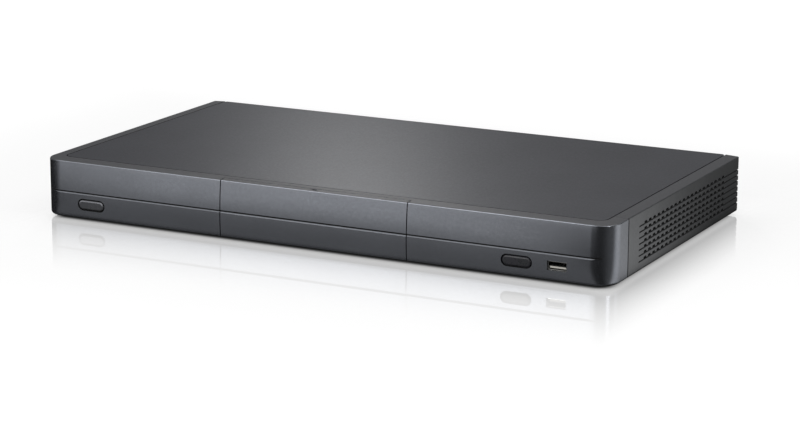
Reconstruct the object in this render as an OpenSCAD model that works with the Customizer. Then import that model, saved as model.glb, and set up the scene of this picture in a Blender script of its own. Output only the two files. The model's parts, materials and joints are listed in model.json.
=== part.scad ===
// Media player with a pull-out hard drive tray.
//
// Drawing frame: X runs across the front with 0 in the middle, Y runs back from the front face,
// Z runs up from the underside of the casing. place() moves all of it so that the origin lies
// on the table, under the middle of the whole object, with -Y towards the user.

/* [Casing] */
// Width over the two side panels
body_w = 430; // [400:1:520]
// Depth from the front face to the back edge of the casing
body_d = 235; // [228:1:290]
// Height from the underside to the top cover
body_h = 40.4; // [40:0.1:60]
// Wall of the moulded plastic parts
skin = 2.2; // [1.6:0.1:3]
// Thickness of the steel sheet
sheet = 0.8; // [0.6:0.1:1.2]
// Plan radius of the two front corners
corner_r = 15; // [8:0.5:22]
// Depth of the front bezel along the sides
bezel_d = 28; // [24:1:40]
// Visible joint of the bezel and a side panel on the top strips
hairline = 0.2; // [0.1:0.05:0.3]
// Distance from the front face to the groove round the top cover
lip_d = 12.4; // [11:0.1:16]
// Width of the plastic strip beside the top cover
strip_w = 10; // [8:0.5:14]
// Visible joint between two mouldings
seam = 0.8; // [0.2:0.05:1]
// Width of the groove round the top cover
groove_gap = 0.8; // [0.5:0.1:1.2]
// Rounding of the upper outer edges
edge_r = 0.8; // [0.4:0.1:1.5]
// Rounding of the lower outer edges
base_r = 2; // [0.8:0.1:2.2]
// Fall of the plastic strips towards the outside
crown = 0.5; // [0.2:0.1:1]

/* [Front face] */
// Height of the line across the front
line_z = 18.6; // [16:0.1:24]
// Height of the slot that makes the line
line_gap = 1; // [0.4:0.05:1.2]
// Depth of the slot
line_depth = 1.7; // [1.2:0.1:2]
// Height of the bevel below the slot
line_bevel = 0.7; // [0.5:0.1:1.6]
// Angle that the face leans back at, just above the line
face_lean = 1.6; // [0:0.1:3]
// Radius that both halves of the face are bowed to
face_bow = 240; // [160:5:600]
// Width of the power button's hole and of the window's hole
pill_w = 22; // [16:0.5:28]
// Height of both holes
pill_h = 8.4; // [6:0.1:10]
// Height of the centre of both holes
pill_z = 10.4; // [9.5:0.1:12]
// Gap round the power button and the window
pill_gap = 0.8; // [0.2:0.05:1]
// Travel of the power button
press = 0.6; // [0.3:0.1:1]
// Distance of the power button from the middle
power_x = 174.6; // [140:0.1:180]
// Distance of the infrared window from the middle
window_x = 149.5; // [130:0.1:155]
// Distance of the front socket from the middle
usb_x = 177.7; // [170:0.1:180]

/* [Side vents] */
// Rows of vent grooves
vent_rows = 7; // [3:1:7]
// Height of the lowest row
vent_z = 7.54; // [6:0.01:10]
// Distance between rows
vent_rise = 3.96; // [3.5:0.01:5]
// Slots in a row
vent_cols = 20; // [8:1:20]
// Distance of the first slot from the front
vent_y = 57.8; // [50:0.1:70]
// Distance between slots
vent_pitch = 7.66; // [6.5:0.01:8]
// Length of a slot
slot_l = 4.8; // [3:0.1:5]
// Height of a slot
slot_h = 2.1; // [1.2:0.1:2.2]
// Distance of the front end of the grooves from the front
vent_start = 46.7; // [40:0.1:48]
// Depth of a groove
vent_depth = 0.9; // [0.5:0.1:1.4]

/* [Drive and tray] */
// Width of the tray front between its two seams
tray_w = 142; // [136:1:150]
// Depth of the tray front
fascia_d = 6.5; // [6:0.1:8]
// Gap between the tray front and the bezel
tray_gap = 0.7; // [0.4:0.05:0.8]
// Width of the hard drive
drive_w = 101.6; // [100:0.1:104]
// Length of the hard drive
drive_l = 147; // [120:0.1:148]
// Height of the hard drive
drive_h = 26.1; // [19:0.1:26.5]
// Distance that the tray slides out
tray_travel = 163; // [120:1:163]
// Clearance round the runners
run_gap = 0.4; // [0.2:0.05:0.6]

/* [Feet and fasteners] */
// Radius of a rubber foot
foot_r = 9; // [6:0.5:12]
// Height of the casing above the table
foot_h = 2; // [1.5:0.1:4]
// Radius of a screw head
head_r = 2.8; // [2:0.1:3.2]
// Height of a screw head
head_h = 1.3; // [0.8:0.1:1.4]

/* [Back] */
// Outer size of the fan
fan_w = 30; // [25:1:30]
// Thickness of the fan
fan_t = 10; // [7:0.5:12]
// Number of fan blades
fan_blades = 7; // [5:1:9]
// Outer radius of an RCA jack's barrel
rca_r = 4.15; // [4.1:0.01:4.2]
// Distance that the barrels stand out of the back panel
rca_out = 8.5; // [7.5:0.1:9]
// Distance between neighbouring RCA jacks
rca_pitch = 14; // [12.5:0.1:15]
// Angle that the mains rocker turns through
rocker_swing = 22; // [14:1:24]

/* [Hidden] */

$fn = 48;
eps = 0.01;
far = 1000;

// ----- holes and clearances that several pieces share -----
tap_r = 1.45;                          // holes that the floor's screws cut their thread in
cover_hole_r = 1.6;                    // clearance holes of the cover's screws
post_r = 1.4;                          // pins that locate the boards
peg_r = 1.5;                           // pegs that locate the front boards
post_hole_r = 1.6;                     // holes of the boards for both
cap_gap = 0.3;                         // flange of a cap behind the inside of the face

// ----- levels and stations that several pieces share -----
half_w = body_w / 2;
face_top = body_h - crown;             // height of the outer edge of the plastic strips
cover_x = half_w - strip_w - groove_gap / 2;  // half width of the top cover
panel_x = half_w - strip_w + groove_gap / 2;  // inner edge of the side strips
lip_y = lip_d - groove_gap / 2;        // back edge of the bezel's top strip
cover_y = lip_d + groove_gap / 2;      // front edge of the top cover
cover_r = 7;                           // plan radius of the top cover's front corners
cover_back_r = 2.4;                    // and of its rear corners
under_cover = body_h - sheet;          // underside of the top cover
ledge_top = under_cover - 0.1;         // ledges that carry the cover's edge
ledge_t = 2.4;
channel = 1.2;                         // depth of the groove round the cover, below the ledges
ledge_w = 4.4;
pan_z = 0.4;                           // underside of the steel floor
floor_z = pan_z + sheet;               // top of the steel floor
pan_y = 16.4;                          // front edge of the steel floor
back_y = body_d - sheet - 0.1;         // outside of the steel back
back_in = back_y - sheet;              // inside of the steel back
steel_top = ledge_top - ledge_t - 0.2; // top of the steel side walls
rear_reach = back_y + rca_out;         // furthest point at the back
button_out = 0.3;                      // the button and the window stand this far proud

// tray, drive and bay
fascia_x = tray_w / 2 - tray_gap;
bulkhead_y = fascia_d + seam;
bulkhead_t = 2;
sled_t = 1.5;
sled_z = 3.2;                          // underside of the sled's floor
drive_z = sled_z + sled_t + 0.5;
drive_y = 14;
drive_end = drive_y + drive_l;
sled_wall = 3;
sled_in = drive_w / 2 + 0.4;
sled_x = sled_in + sled_wall;          // outside of the sled's walls
sled_h = 21;
runner_w = 3;
runner_h = 3;
runner_z = sled_z + 16;
rail_t = 1.5;
rail_x = sled_x + runner_w + run_gap;  // inside of the rail's web
bay_x = rail_x + rail_t;               // inside of the bay's walls
bay_t = 1;
bay_y0 = bulkhead_y + bulkhead_t + 0.4;
bay_y1 = drive_end + 31;
bay_top = min(drive_z + drive_h + 4.9, under_cover - 2.4);  // top face of the bay
arm_end = bay_y1 - 4;                  // back end of the sled's arms
flange_w = 8;
mouth_x = sled_x + runner_w + 1.2;
mouth_z0 = sled_z - 0.6;
mouth_z1 = bay_top - bay_t + 0.2;
plug_x = 27;                           // middle of the drive's connector
plug_w = 40;
plug_z = drive_z + 3.6;
board_y = drive_end + 10;              // front face of the backplane
side_hole_z = 6.35;                    // drive's side screws, above its underside
side_holes = [28.5, drive_l - 16.9];   // and forward of its back end

// boards
board_t = 1.6;
board_z = 6.4;
board_top = board_z + board_t;
main_x0 = bay_x + bay_t + 1;
main_x1 = cover_x - 6.6;
main_y0 = 70;
main_y1 = back_in - 7;
supply_y0 = 60;

// screws that hold the bezel to the steel floor
bezel_screw = [115, pan_y + 5];
// screws up through the steel floor, on the right-hand side: bay flange, bezel and back panel
bay_screw_x = bay_x + bay_t + 3.6;
base_screw_at = [[bay_screw_x, pan_y + 12], [bay_screw_x, bay_y1 - 14], bezel_screw, [150, back_in - 4]];

// rear edge of the top cover: a turned-down flange with three tabs for its screws
cover_flange = 4.8;
cover_tab = 8;
cover_screw_x = [-0.58, 0.2, 0.88];    // as shares of the cover's half width
cover_screw_z = body_h - 4.6;

// front controls
usb_w = 13.1;                          // shell of a type A socket
usb_h = 5.7;
usb_t = 0.35;
usb_l = 13.5;
usb_face = 1.5;                        // recess of the front socket behind the face
front_board_top = pill_z - usb_h / 2 - 0.4;
stem_end = 9.3;                        // back end of the power button's stem
peg_x = 17;                            // pegs of the switch board, either side of the button
socket_pegs = [window_x - 13, usb_x + 10];
socket_peg_y = 11.5;
switch_front = 11;                     // front of the switch's body
switch_back = switch_front + 3.5;      // and its back, on its board

// sockets at the back, by the distance of their middle from the right-hand steel wall
steel_x = cover_x - sheet;             // inside of the steel side walls
ethernet_x = steel_x - 14;
rear_usb_x = steel_x - 33.6;
hdmi_x = steel_x - 54;
optical_x = steel_x - 73.6;
coax_x = steel_x - 90;
rca_x = steel_x - 108;                 // first of the three columns
rca_z = board_top + 6.6;
rca_rise = 15;
inlet_x = -(steel_x - 27);
rocker_x = -(steel_x - 63);
socket_z = (floor_z + under_cover) / 2;
fan_z = (floor_z + under_cover) / 2;

module place() {
    translate([0, -(rear_reach - button_out) / 2, foot_h]) children();
}

// ----- building blocks -----
function arc(cx, cy, r, a0, a1, n = 4) =
    [for (i = [0:n]) let (a = a0 + (a1 - a0) * i / n) [cx + r * cos(a), cy + r * sin(a)]];

// A box between two opposite corners.
module box(a, b) {
    translate(a) cube(b - a);
}

// A YZ outline drawn out along X, centred or between two stations.
module along_x(w) {
    rotate([90, 0, 90]) linear_extrude(w, center = true) children();
}
module from_x(x0, x1) {
    translate([x0, 0, 0]) rotate([90, 0, 90]) linear_extrude(x1 - x0) children();
}

// An XZ outline drawn out along Y between two stations.
module along_y(y0, y1) {
    translate([0, y1, 0]) rotate([90, 0, 0]) linear_extrude(y1 - y0) children();
}

module rod_x(r, x0, x1) {
    translate([x0, 0, 0]) rotate([0, 90, 0]) cylinder(r = r, h = x1 - x0);
}
module rod_y(r, y0, y1) {
    translate([0, y1, 0]) rotate([90, 0, 0]) cylinder(r = r, h = y1 - y0);
}
module rod_z(r, z0, z1) {
    translate([0, 0, z0]) cylinder(r = r, h = z1 - z0);
}

module pill(w, h) {
    square([w - h, h], center = true);
    for (s = [-1, 1]) translate([s * (w - h) / 2, 0]) circle(d = h);
}

module both_sides() {
    children();
    mirror([1, 0, 0]) children();
}

// A cross-head screw whose head stands on the plane z = 0 and whose shank points down.
module screw(r, h, shank_r, shank_l) {
    difference() {
        union() {
            cylinder(r1 = r, r2 = r * 0.8, h = h);
            translate([0, 0, -shank_l]) cylinder(r = shank_r, h = shank_l + eps);
        }
        for (a = [0, 90])
            rotate([0, 0, a]) translate([-r * 0.55, -r * 0.12, h * 0.4]) cube([r * 1.1, r * 0.24, h]);
    }
}

// A flat cable seen edge-on: a band of thickness t along a line of points, mitred at its bends.
function unit(v) = v / norm(v);
function band_side(points, t) = [for (i = [0:len(points) - 1])
    let (last = len(points) - 1,
        d0 = unit(points[min(i, last - 1) + 1] - points[min(i, last - 1)]),
        d1 = unit(points[max(i, 1)] - points[max(i, 1) - 1]),
        m = unit(d0 + d1))
    points[i] + t / 2 / (m * d0) * [-m[1], m[0]]];
module ribbon(points, t) {
    left = band_side(points, t);
    right = band_side(points, -t);
    polygon(concat(left, [for (i = [len(right) - 1:-1:0]) right[i]]));
}

// ----- outer form of the casing -----
module plan(inset = 0) {
    r = corner_r - inset;
    x = half_w - inset;
    translate([-x + r, inset]) square([2 * (x - r), body_d]);
    translate([-x, corner_r]) square([2 * x, body_d]);
    for (s = [-1, 1]) translate([s * (x - r), corner_r]) circle(r = r);
}

// Section through the front: both halves of the face are bowed, with the line between them.
line_step = 0.2;                       // the upper half starts this far behind the lower one
line_low = line_z - line_gap / 2;
line_high = line_z + line_gap / 2;
low_bow = [face_bow, line_low - line_bevel];  // centres of the two bows
high_bow = [line_step + face_bow * cos(face_lean), line_high - face_bow * sin(face_lean)];
// centre of an edge rounding that runs into a bow, and the angle at which the two meet
function rounding(bow, r, z) = [bow[0] - sqrt(pow(face_bow - r, 2) - pow(z - bow[1], 2)), z];
function meeting(bow, c) = 180 + atan((c[1] - bow[1]) / (c[0] - bow[0]));
// points of a bow between two heights, without its two ends
function bowed(bow, z0, z1, n = 8) = [for (i = [1:n - 1]) let (z = z0 + (z1 - z0) * i / n)
    [bow[0] - sqrt(pow(face_bow, 2) - pow(z - bow[1], 2)), z]];
base_edge = rounding(low_bow, base_r, base_r);
top_edge = rounding(high_bow, edge_r, face_top - edge_r);
face_profile = concat(
    arc(base_edge[0], base_edge[1], base_r, 270, meeting(low_bow, base_edge)),
    bowed(low_bow, base_r, low_bow[1]),
    [[0, low_bow[1]], [line_bevel * 0.8, line_low], [line_depth, line_low], [line_depth, line_high],
        [line_step, line_high]],
    bowed(high_bow, line_high, face_top - edge_r),
    arc(top_edge[0], top_edge[1], edge_r, meeting(high_bow, top_edge), 90),
    [[lip_d, body_h], [body_d, body_h], [body_d, 0]]);

// Section through the width: side walls and the two falling strips.
half_roof = concat(
    arc(half_w - base_r, base_r, base_r, 270, 360),
    arc(half_w - edge_r, face_top - edge_r, edge_r, 0, 90),
    [[half_w - strip_w, body_h]]);
roof_profile = concat(half_roof, [for (i = [len(half_roof) - 1:-1:0]) [-half_roof[i][0], half_roof[i][1]]]);

// Takes the edge off a rounded front corner, above or below.
module corner_edge(r) {
    blend = 3;
    ring = concat([[corner_r - r - blend, 0.3]], arc(corner_r - r, -r, r, 90, 0),
        [[corner_r + 1, -r], [corner_r + 1, 2], [corner_r - r - blend, 2]]);
    rotate([0, 0, -90]) rotate_extrude(angle = 90) polygon(ring);
}

module corner_edges() {
    both_sides() translate([half_w - corner_r, corner_r, 0]) {
        translate([0, 0, face_top]) corner_edge(edge_r);
        mirror([0, 0, 1]) corner_edge(base_r);
    }
}

// ----- casing -----
// Plan of the top cover and of the seat round it: straight sides and two round front corners.
module cover_plan(x, y, r) {
    translate([-x + r, y]) square([2 * (x - r), body_d]);
    translate([-x, y + r]) square([2 * x, body_d]);
    for (s = [-1, 1]) translate([s * (x - r), y + r]) circle(r = r);
}

module front_bezel() {
    bezel_end = bezel_d - seam / 2;
    floor_x = cover_x + 0.3;
    color("#3b3e43") difference() {
        union() {
            difference() {
                intersection() {
                    linear_extrude(body_h) plan();
                    along_x(body_w + 2) polygon(face_profile);
                    along_y(-1, body_d) polygon(roof_profile);
                    box([-far, -1, -1], [far, bezel_end, body_h + 1]);
                }
                corner_edges();
                // hollow behind the face
                translate([0, 0, skin]) linear_extrude(face_top - 2 * skin) plan(skin);
                // seat of the top cover, with a ledge round it
                translate([0, 0, ledge_top]) linear_extrude(5) cover_plan(panel_x, lip_y, cover_r);
                translate([0, 0, ledge_top - 9]) linear_extrude(20)
                    cover_plan(panel_x - ledge_w, lip_y + 8, cover_r);
                translate([0, 0, ledge_top - channel]) linear_extrude(5) difference() {
                    cover_plan(panel_x - 0.2, lip_y + 0.2, cover_r);
                    cover_plan(cover_x, cover_y, cover_r - groove_gap);
                }
                // open underneath, where the steel floor comes in
                box([-floor_x, pan_y - 0.4, -1], [floor_x, bezel_d, skin + 1]);
                // pocket of the tray front
                box([-tray_w / 2, -1, -1], [tray_w / 2, bulkhead_y, body_h + 1]);
            }
            // bulkhead behind the tray front, and the two sides of its pocket
            difference() {
                box([-tray_w / 2 - skin, bulkhead_y, 0.3], [tray_w / 2 + skin, bulkhead_y + bulkhead_t, ledge_top]);
                box([-mouth_x, 0, mouth_z0], [mouth_x, bezel_d, mouth_z1]);
            }
            both_sides() box([tray_w / 2, 1.8 + line_depth, 0.3],
                [tray_w / 2 + skin, bulkhead_y + bulkhead_t, ledge_top]);
            // bosses that the steel floor is screwed up into, each tied to the front by a rib
            both_sides() translate([bezel_screw[0], 0, 0]) {
                translate([0, bezel_screw[1], 0]) rod_z(3.4, floor_z, 9);
                box([-1, skin, skin - eps], [1, bezel_screw[1], 7]);
            }
            // pegs of the switch board and of the front socket board
            for (s = [-1, 1]) translate([-power_x + s * peg_x, 0, pill_z]) {
                rod_y(2.6, skin - eps, switch_back);
                rod_y(peg_r, skin, switch_back + board_t + 0.8);
            }
            for (x = socket_pegs) translate([x, socket_peg_y, 0]) {
                rod_z(2.6, skin - eps, front_board_top - board_t);
                rod_z(peg_r, skin, front_board_top + 0.8);
            }
        }
        both_sides() translate([bezel_screw[0], bezel_screw[1], 0]) rod_z(tap_r, -1, 6);
        translate([-power_x, 0, pill_z]) along_y(-1, 3 * skin) pill(pill_w, pill_h);
        translate([window_x, 0, pill_z]) along_y(-1, 3 * skin) pill(pill_w, pill_h);
        translate([usb_x, 0, pill_z]) along_y(-1, 3 * skin) square([usb_w + 0.5, usb_h + 0.5], center = true);
    }
}

// One vent groove, seen end-on: a narrow notch along the lower edge of the slots.
groove_z = -0.85;
groove_h = 1.1;
module groove_section() {
    flank = groove_h / 2 * (1 + 1 / vent_depth);
    translate([0, groove_z]) polygon([[half_w + 1, flank], [half_w - vent_depth, 0], [half_w + 1, -flank]]);
}

module side_panel() {
    front = bezel_d + seam / 2;
    difference() {
        union() {
            difference() {
                intersection() {
                    union() {
                        box([panel_x, front, 0], [half_w, body_d, body_h]);
                        box([panel_x, front - seam + hairline, face_top - edge_r], [half_w, front + 1, body_h]);
                    }
                    along_y(front - seam, body_d) polygon(roof_profile);
                }
                box([0, front - 1, skin], [half_w - skin, body_d - skin, face_top - skin]);
            }
            // hook that lies on the steel wall and carries the cover's edge
            difference() {
                box([panel_x - ledge_w, front, ledge_top - ledge_t], [panel_x + eps, body_d - 2 * skin, ledge_top]);
                box([cover_x, front - 1, ledge_top - channel], [panel_x - 0.2, body_d, ledge_top + 1]);
            }
            // locating ribs against the steel wall
            for (i = [0:3]) let (y = front + 12 + i * (body_d - front - 30) / 3)
                box([cover_x, y, 0.8], [half_w - skin / 2, y + 1.5, skin + 3]);
        }
        for (row = [0:vent_rows - 1]) translate([0, 0, vent_z + row * vent_rise]) {
            along_y(vent_start, body_d + 1) groove_section();
            for (col = [0:vent_cols - 1]) translate([0, vent_y + col * vent_pitch, 0])
                from_x(half_w - 2 * skin, half_w + 1) pill(slot_l, slot_h);
        }
    }
}
module side_panel_right() {
    color("#393b3e") side_panel();
}
module side_panel_left() {
    color("#393b3e") mirror([1, 0, 0]) side_panel();
}

module top_cover() {
    rib = 5;
    tab = 7;
    color("#45474a") difference() {
        union() {
            translate([0, 0, under_cover]) linear_extrude(sheet)
                intersection() {
                    cover_plan(cover_x, cover_y, cover_r - groove_gap);
                    mirror([0, 1]) cover_plan(cover_x, -body_d, cover_back_r);
                }
            box([-cover_x + cover_back_r, body_d - sheet, body_h - cover_flange],
                [cover_x - cover_back_r, body_d, under_cover + eps]);
            for (s = cover_screw_x) translate([s * cover_x, 0, 0])
                box([-tab, body_d - sheet, body_h - cover_tab], [tab, body_d, under_cover + eps]);
            both_sides() box([steel_x - 4 - sheet, bezel_d + 8, under_cover - rib],
                [steel_x - 4, back_in - 4, under_cover + eps]);
        }
        for (s = cover_screw_x) translate([s * cover_x, 0, cover_screw_z]) rod_y(cover_hole_r, body_d - 5, body_d + 5);
    }
}
module cover_screws() {
    color("#2a2a2c") for (s = cover_screw_x)
        translate([s * cover_x, body_d, cover_screw_z]) rotate([-90, 0, 0]) screw(head_r, head_h, 1.5, 5);
}

module vent_field(nx, ny, px, py, l, h) {
    for (i = [0:nx - 1]) for (j = [0:ny - 1])
        translate([(i - (nx - 1) / 2) * px, (j - (ny - 1) / 2) * py]) pill(l, h);
}

wall_windows = 5;
window_pitch = (vent_cols - 1) * vent_pitch / wall_windows;
module base_pan() {
    wall_y0 = bezel_d + 1;
    color("#b9bcc0") difference() {
        union() {
            box([-cover_x, pan_y, pan_z], [cover_x, back_in - 0.1, floor_z]);
            both_sides() box([steel_x, wall_y0, pan_z], [cover_x, back_in - 0.1, steel_top]);
        }
        both_sides() for (p = base_screw_at) translate([p[0], p[1], 0]) rod_z(tap_r, -1, 3);
        // windows in the side walls, behind the vents
        for (i = [0:wall_windows - 1]) let (y = vent_y + 4 + i * window_pitch)
            box([-far, y, vent_z - 2], [far, y + window_pitch - 4.6, steel_top - 5]);
        // vents under the supply and the main board
        both_sides() translate([(steel_x + bay_x) / 2, 140, -1]) linear_extrude(5)
            vent_field(5, 9, 22, 7, 16, 2.6);
    }
}

foot_x = half_w - 37;
foot_y = [32, body_d - 27];
module rubber_feet() {
    color("#1b1b1c") both_sides() for (y = foot_y) translate([foot_x, y, 0])
        rotate_extrude() polygon([[0, -foot_h], [foot_r - 1, -foot_h], [foot_r, -foot_h + 0.8],
            [foot_r, pan_z], [0, pan_z]]);
}

module base_screws() {
    color("#8c8f94") both_sides() for (p = base_screw_at)
        translate([p[0], p[1], pan_z]) mirror([0, 0, 1]) screw(head_r, head_h, 1.4, 4);
}

// ----- front controls -----
button_flange = 1.2;
cap_round = 1.3;
// Cap with round ends and a rounded face edge, from y0 back to y1.
module pill_cap(y0, y1) {
    r = pill_h / 2 - pill_gap;
    reach = (pill_w - pill_h) / 2;
    section = concat([[y1, -r]], arc(y0 + cap_round, -r + cap_round, cap_round, 270, 180),
        arc(y0 + cap_round, r - cap_round, cap_round, 180, 90), [[y1, r]]);
    end = concat([[0, -y1], [r, -y1]], arc(r - cap_round, -y0 - cap_round, cap_round, 0, 90), [[0, -y0]]);
    from_x(-reach, reach) polygon(section);
    for (x = [-reach, reach]) translate([x, 0, 0]) rotate([90, 0, 0]) rotate_extrude() polygon(end);
}

module power_button() {
    color("#34363b") translate([-power_x, 0, pill_z]) {
        pill_cap(-button_out, skin + cap_gap + eps);
        along_y(skin + cap_gap, skin + cap_gap + button_flange) pill(pill_w + 2.6, pill_h + 2.2);
        rod_y(2, skin + 1, stem_end);
    }
}

module switch_plunger() {
    color("#c9c3a5") translate([-power_x, 0, pill_z]) rod_y(1.7, stem_end, switch_front + 1.8);
}
module power_switch() {
    color("#202022") translate([-power_x, 0, pill_z]) difference() {
        union() {
            box([-3, switch_front, -3], [3, switch_back, 3]);
            for (sx = [-1, 1]) for (sz = [-1, 1])
                box([sx * 3.4 - 0.4, switch_back - 0.9, sz * 2 - 0.35],
                    [sx * 3.4 + 0.4, switch_back, sz * 2 + 0.35]);
        }
        rod_y(1.75, switch_front - 1, switch_front + 2.6);
    }
}
module power_switch_board() {
    y0 = switch_back;
    color("#1f5a34") difference() {
        box([-power_x - 20, y0, skin + 0.4], [-power_x + 20, y0 + board_t, 2 * pill_z - skin]);
        for (s = [-1, 1]) translate([-power_x + s * peg_x, 0, pill_z]) rod_y(post_hole_r, y0 - 1, y0 + 3);
    }
}

module ir_window() {
    color("#17141a") translate([window_x, 0, pill_z]) {
        pill_cap(-button_out, skin + 0.1);
        along_y(skin, skin + 1) pill(pill_w + 2.4, pill_h + 2);
    }
}
module ir_receiver() {
    color("#26262a") translate([window_x, 0, 0]) {
        box([-3, 9, pill_z - 2.4], [3, 12.6, pill_z + 3.4]);
        translate([0, 9, pill_z]) intersection() {
            sphere(r = 2.3);
            box([-3, -3, -3], [3, 0.5, 3]);
        }
        for (i = [-1:1]) box([i * 2.2 - 0.25, 10.4, front_board_top], [i * 2.2 + 0.25, 10.9, pill_z - 2.4 + eps]);
    }
}

// A type A socket that opens towards -Y, with its mouth at y = 0.
module usb_shell() {
    difference() {
        along_y(0, usb_l) square([usb_w, usb_h], center = true);
        along_y(-1, usb_l - 1) square([usb_w - 2 * usb_t, usb_h - 2 * usb_t], center = true);
    }
    // two spring tongues bent up from the floor
    for (s = [-1, 1]) from_x(s * 3 - 0.9, s * 3 + 0.9)
        polygon([[1.2, -usb_h / 2 + usb_t - eps], [4.2, -usb_h / 2 + usb_t + 0.7], [8, -usb_h / 2 + usb_t - eps]]);
}
module usb_tongue() {
    box([-5.6, 0.9, 0.1], [5.6, usb_l - 1, 1.9]);
    for (i = [0:3]) box([-3.9 + i * 2.4, 1.2, -0.15], [-2.9 + i * 2.4, usb_l - 2, 0.1 + eps]);
}
module front_usb_shell() {
    color("#c9c7c0") translate([usb_x, usb_face, pill_z]) rotate([0, 180, 0]) usb_shell();
}
module front_usb_tongue() {
    color("#e4e2da") translate([usb_x, usb_face, pill_z]) rotate([0, 180, 0]) usb_tongue();
}
module front_socket_board() {
    color("#1f5a34") difference() {
        box([window_x - 18, 7, front_board_top - board_t], [usb_x + 14, 38, front_board_top]);
        for (x = socket_pegs) for (y = [socket_peg_y, front_post_y]) translate([x, y, 0]) rod_z(post_hole_r, 0, 20);
    }
}

// ----- drive tray -----
slot_w = 4.4;
module tray_front() {
    wall = 2.4;
    color("#3d4045") difference() {
        intersection() {
            box([-fascia_x, -1, 0], [fascia_x, fascia_d, body_h]);
            along_x(body_w) polygon(face_profile);
        }
        // hollow back, leaving the bosses
        difference() {
            box([-fascia_x + wall, 2 + wall, wall], [fascia_x - wall, fascia_d + 1, face_top - wall]);
            for (p = fascia_bosses) translate([p[0], 0, p[1]]) rod_y(3, 0, fascia_d - sled_t);
        }
        box([-sled_x - 0.4, fascia_d - sled_t, sled_z - 0.4], [sled_x + 0.4, fascia_d + 1, sled_z + 27]);
        // slot in the top edge, for a nail to pull the tray by
        box([-slot_w / 2, 3.2, body_h - 2.2], [slot_w / 2, 5.2, body_h + 1]);
        for (p = fascia_bosses) translate([p[0], 0, p[1]]) rod_y(1.1, 2.6, fascia_d + 1);
    }
}
fascia_bosses = [for (sx = [-1, 1]) for (z = [sled_z + 4.5, sled_z + 22]) [sx * 44, z]];
module fascia_screws() {
    color("#9a9da2") for (p = fascia_bosses) translate([p[0], fascia_d, p[1]])
        rotate([-90, 0, 0]) screw(2.6, 1.2, 1.05, 3.4);
}

module drive_sled() {
    front_h = 26;
    color("#2e3033") difference() {
        union() {
            // front plate, floor, walls and long arms with their runners
            box([-sled_x, fascia_d - sled_t, sled_z], [sled_x, fascia_d, sled_z + front_h]);
            box([-sled_x, fascia_d - sled_t, sled_z], [sled_x, drive_end + 2, sled_z + sled_t]);
            both_sides() {
                box([sled_in, fascia_d - sled_t, sled_z], [sled_x, drive_end + 2, sled_z + sled_h]);
                box([sled_in, drive_end, runner_z - 2], [sled_x, arm_end, runner_z + runner_h + 2]);
                box([sled_x - eps, bay_y0 + 2, runner_z], [sled_x + runner_w, arm_end, runner_z + runner_h]);
            }
        }
        for (p = fascia_bosses) translate([p[0], 0, p[1]]) rod_y(1.3, 0, fascia_d + 1);
        // air slots under the drive
        translate([0, drive_y + drive_l / 2, -1]) linear_extrude(20) vent_field(4, 9, 22, 14, 16, 4);
        // countersunk holes for the drive's side screws
        both_sides() for (d = side_holes) translate([0, drive_end - d, drive_z + side_hole_z]) {
            rod_x(1.9, sled_in - 1, sled_x + 1);
            rod_x(drive_head_r + 0.3, sled_x - 1.4, sled_x + 1);
        }
        // air gaps in the walls
        both_sides() for (i = [0:3]) translate([0, drive_y + 34 + i * 22, sled_z + 12.5])
            from_x(sled_in - 1, sled_x + 0.1) pill(14, 3.6);
    }
}
drive_head_r = 3;
module drive_screws() {
    color("#a8abb0") both_sides() for (d = side_holes)
        translate([sled_x - 1.4, drive_end - d, drive_z + side_hole_z])
            rotate([0, 90, 0]) screw(drive_head_r, 1.3, 1.7, sled_wall - 1.4 + 3);
}

lid_t = 1.2;
module hard_drive_casting() {
    x = drive_w / 2;
    base = drive_z + drive_h;
    color("#9fa3a8") difference() {
        box([-x, drive_y, drive_z], [x, drive_end, base - lid_t]);
        // cavity for the discs, closed by the lid
        box([-x + 6, drive_y + 6, drive_z + 7], [x - 6, drive_end - 26, base]);
        // pocket for the board underneath, and for the plug at the back
        box([-x + 3, drive_end - 62, drive_z - 1], [x - 3, drive_end - 3, drive_z + 2.6]);
        box([plug_x - plug_w / 2 - 1, drive_end - 9, drive_z - 1], [plug_x + plug_w / 2 + 1, drive_end + 1, drive_z + 7]);
        // steps along the top edges and the four side holes
        both_sides() {
            box([x - 2.4, drive_y + 14, base - 6], [x + 1, drive_end - 40, base]);
            for (d = side_holes) translate([0, drive_end - d, drive_z + side_hole_z]) rod_x(1.7, x - 3.4, x + 1);
        }
    }
}
module hard_drive_lid() {
    x = drive_w / 2 - 2.6;
    top = drive_z + drive_h;
    color("#c3c6ca") difference() {
        union() {
            box([-x, drive_y + 1, top - lid_t], [x, drive_end - 6, top]);
            for (sx = [-1, 1]) for (y = [drive_y + 6, drive_y + 70, drive_end - 14])
                translate([sx * (x - 4), y, top - lid_t]) rod_z(3.4, 0, lid_t);
        }
        // pressed ring over the discs and a label recess behind it
        translate([0, drive_y + 52, top - 0.4]) difference() {
            cylinder(r = 44, h = 2);
            translate([0, 0, -1]) cylinder(r = 38, h = 4);
        }
        translate([0, drive_y + 52, top - 0.5]) cylinder(r = 9, h = 2);
        box([-x + 12, drive_y + 102, top - 0.3], [x - 12, drive_end - 10, top + 1]);
        for (sx = [-1, 1]) for (y = [drive_y + 6, drive_y + 70, drive_end - 14])
            translate([sx * (x - 4), y, top - 0.6]) cylinder(r = 1.6, h = 2, $fn = 6);
    }
}
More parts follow.
